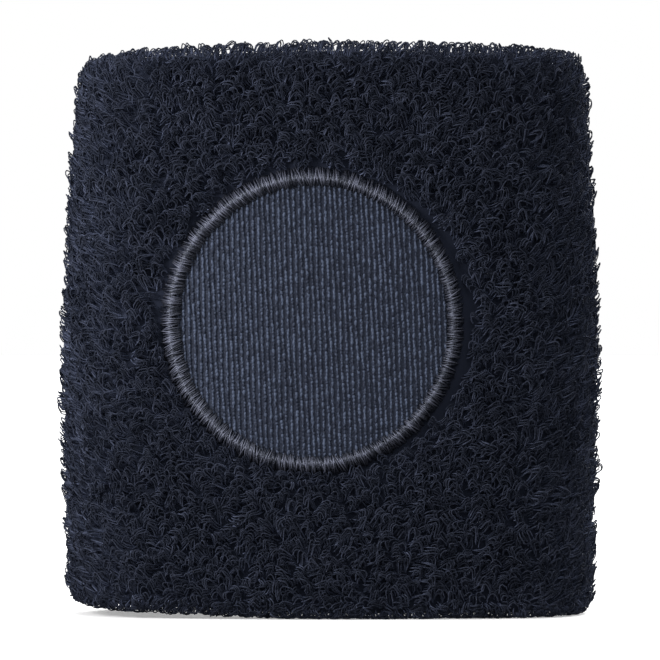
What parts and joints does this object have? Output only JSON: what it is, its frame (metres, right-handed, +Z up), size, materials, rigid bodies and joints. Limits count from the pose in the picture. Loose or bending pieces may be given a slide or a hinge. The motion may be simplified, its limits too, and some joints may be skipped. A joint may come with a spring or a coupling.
{
  "type": "sweat wristband",
  "caption": "Double-layer stretch terry wristband for soaking up sweat at the wrist, with a round ribbed patch edged in satin stitch on its front.",
  "frame": {"origin": "middle of the bottom rim, in the plane that the band stands on", "axes": "+Z up along the band's tube, -Y out of the front that carries the patch, +X to the right seen from the front"},
  "size_m": [0.076, 0.0319, 0.08],
  "materials": {
    "terry": "uncut cotton loop pile, midnight navy, matt",
    "elastic": "covered rubber thread, matt",
    "seam_thread": "spun polyester sewing thread, slight sheen",
    "border_thread": "trilobal polyester embroidery thread, satin sheen",
    "patch_fabric": "ribbed woven polyester, satin",
    "stiffener": "non-woven, matt"
  },
  "bodies": {
    "rear_half": {"terry_rear_half": "terry", "elastic_yarn_01": "elastic", "elastic_yarn_02": "elastic", "elastic_yarn_03": "elastic", "elastic_yarn_04": "elastic", "elastic_yarn_05": "elastic", "elastic_yarn_06": "elastic", "elastic_yarn_07": "elastic", "elastic_yarn_08": "elastic", "elastic_yarn_09": "elastic", "elastic_yarn_10": "elastic", "elastic_yarn_11": "elastic", "elastic_yarn_12": "elastic", "seam_inner_looper_thread": "seam_thread", "seam_needle_thread": "seam_thread", "seam_outer_looper_thread": "seam_thread"},
    "front_half": {"terry_front_half": "terry", "satin_border_thread": "border_thread", "border_padding_thread": "border_thread", "patch_face": "patch_fabric", "patch_stiffener": "stiffener", "border_bobbin_thread": "border_thread", "embroidery_stabiliser": "stiffener"}
  },
  "joints": [
    {"name": "stretch", "type": "slide", "parent": "rear_half", "child": "front_half", "axis": [0, -1, 0], "range_m": [0, 0.03], "stiffness_N_per_m": 300, "deforming": ["elastic_yarn_01", "elastic_yarn_02", "elastic_yarn_03", "elastic_yarn_04", "elastic_yarn_05", "elastic_yarn_06", "elastic_yarn_07", "elastic_yarn_08", "elastic_yarn_09", "elastic_yarn_10", "elastic_yarn_11", "elastic_yarn_12", "seam_inner_looper_thread", "seam_needle_thread", "seam_outer_looper_thread"]}
  ]
}
